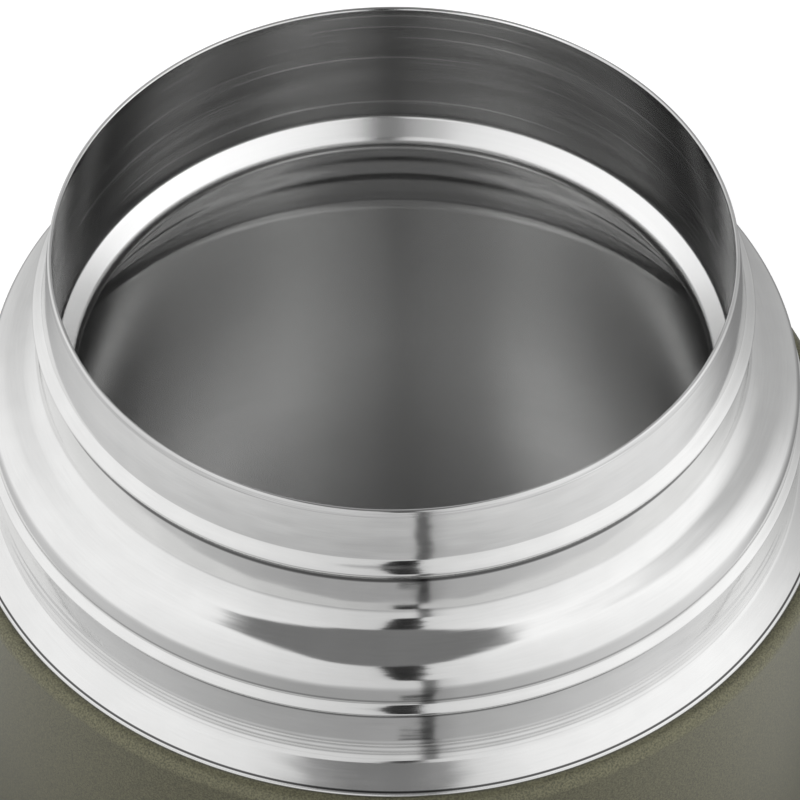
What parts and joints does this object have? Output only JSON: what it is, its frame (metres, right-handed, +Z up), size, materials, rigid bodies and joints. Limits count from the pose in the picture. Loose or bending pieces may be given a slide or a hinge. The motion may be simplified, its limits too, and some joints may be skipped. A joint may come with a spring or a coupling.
{
  "type": "insulated food jar",
  "caption": "Wide-mouth vacuum food jar with a ridged bare steel neck, an inner sealing bead and a painted body; the insulated press-on lid with a vent button stands beside it.",
  "frame": {"origin": "middle of the foot ring, on the surface that the jar stands on", "axes": "+Z up along the jar's axis, +X towards the lid standing beside the jar"},
  "size_m": [0.2084, 0.0982, 0.125],
  "materials": {
    "polished_steel": "polished, turned",
    "satin_steel": "satin, turned",
    "body_paint": "fine grained satin",
    "base_paint": "fine grained satin",
    "foil": "bright foil",
    "solder": "dull",
    "getter_pellet": "pressed powder",
    "foot_rubber": "matt",
    "lid_plastic": "fine grained",
    "core_plastic": "smooth moulded",
    "foam": "open cell",
    "silicone": "matt",
    "guide_plastic": "smooth moulded",
    "spring_steel": "drawn wire",
    "button_plastic": "smooth moulded"
  },
  "bodies": {
    "jar": {"neck_shell": "polished_steel", "outer_shell": "body_paint", "liner": "satin_steel", "liner_floor": "satin_steel", "radiation_foil": "foil", "outer_bottom": "satin_steel", "vacuum_plug": "solder", "getter": "getter_pellet", "getter_clip": "satin_steel", "base_cup": "base_paint", "foot_ring": "foot_rubber"},
    "lid": {"lid_shell": "lid_plastic", "lid_core": "core_plastic", "plug_cover": "core_plastic", "lid_foam": "foam", "plug_foam": "foam", "lid_gasket": "silicone", "vent_guide": "guide_plastic", "vent_spring": "spring_steel"},
    "vent": {"vent_button": "button_plastic", "vent_seal": "silicone", "vent_clip": "spring_steel"}
  },
  "joints": [
    {"name": "lid_lift", "type": "slide", "parent": "jar", "child": "lid", "axis": [0, 0, 1], "range_m": [0, 0.15]},
    {"name": "vent_press", "type": "slide", "parent": "lid", "child": "vent", "axis": [0, 0, -1], "range_m": [0, 0.002], "stiffness_N_per_m": 700, "deforming": ["vent_spring"]}
  ]
}
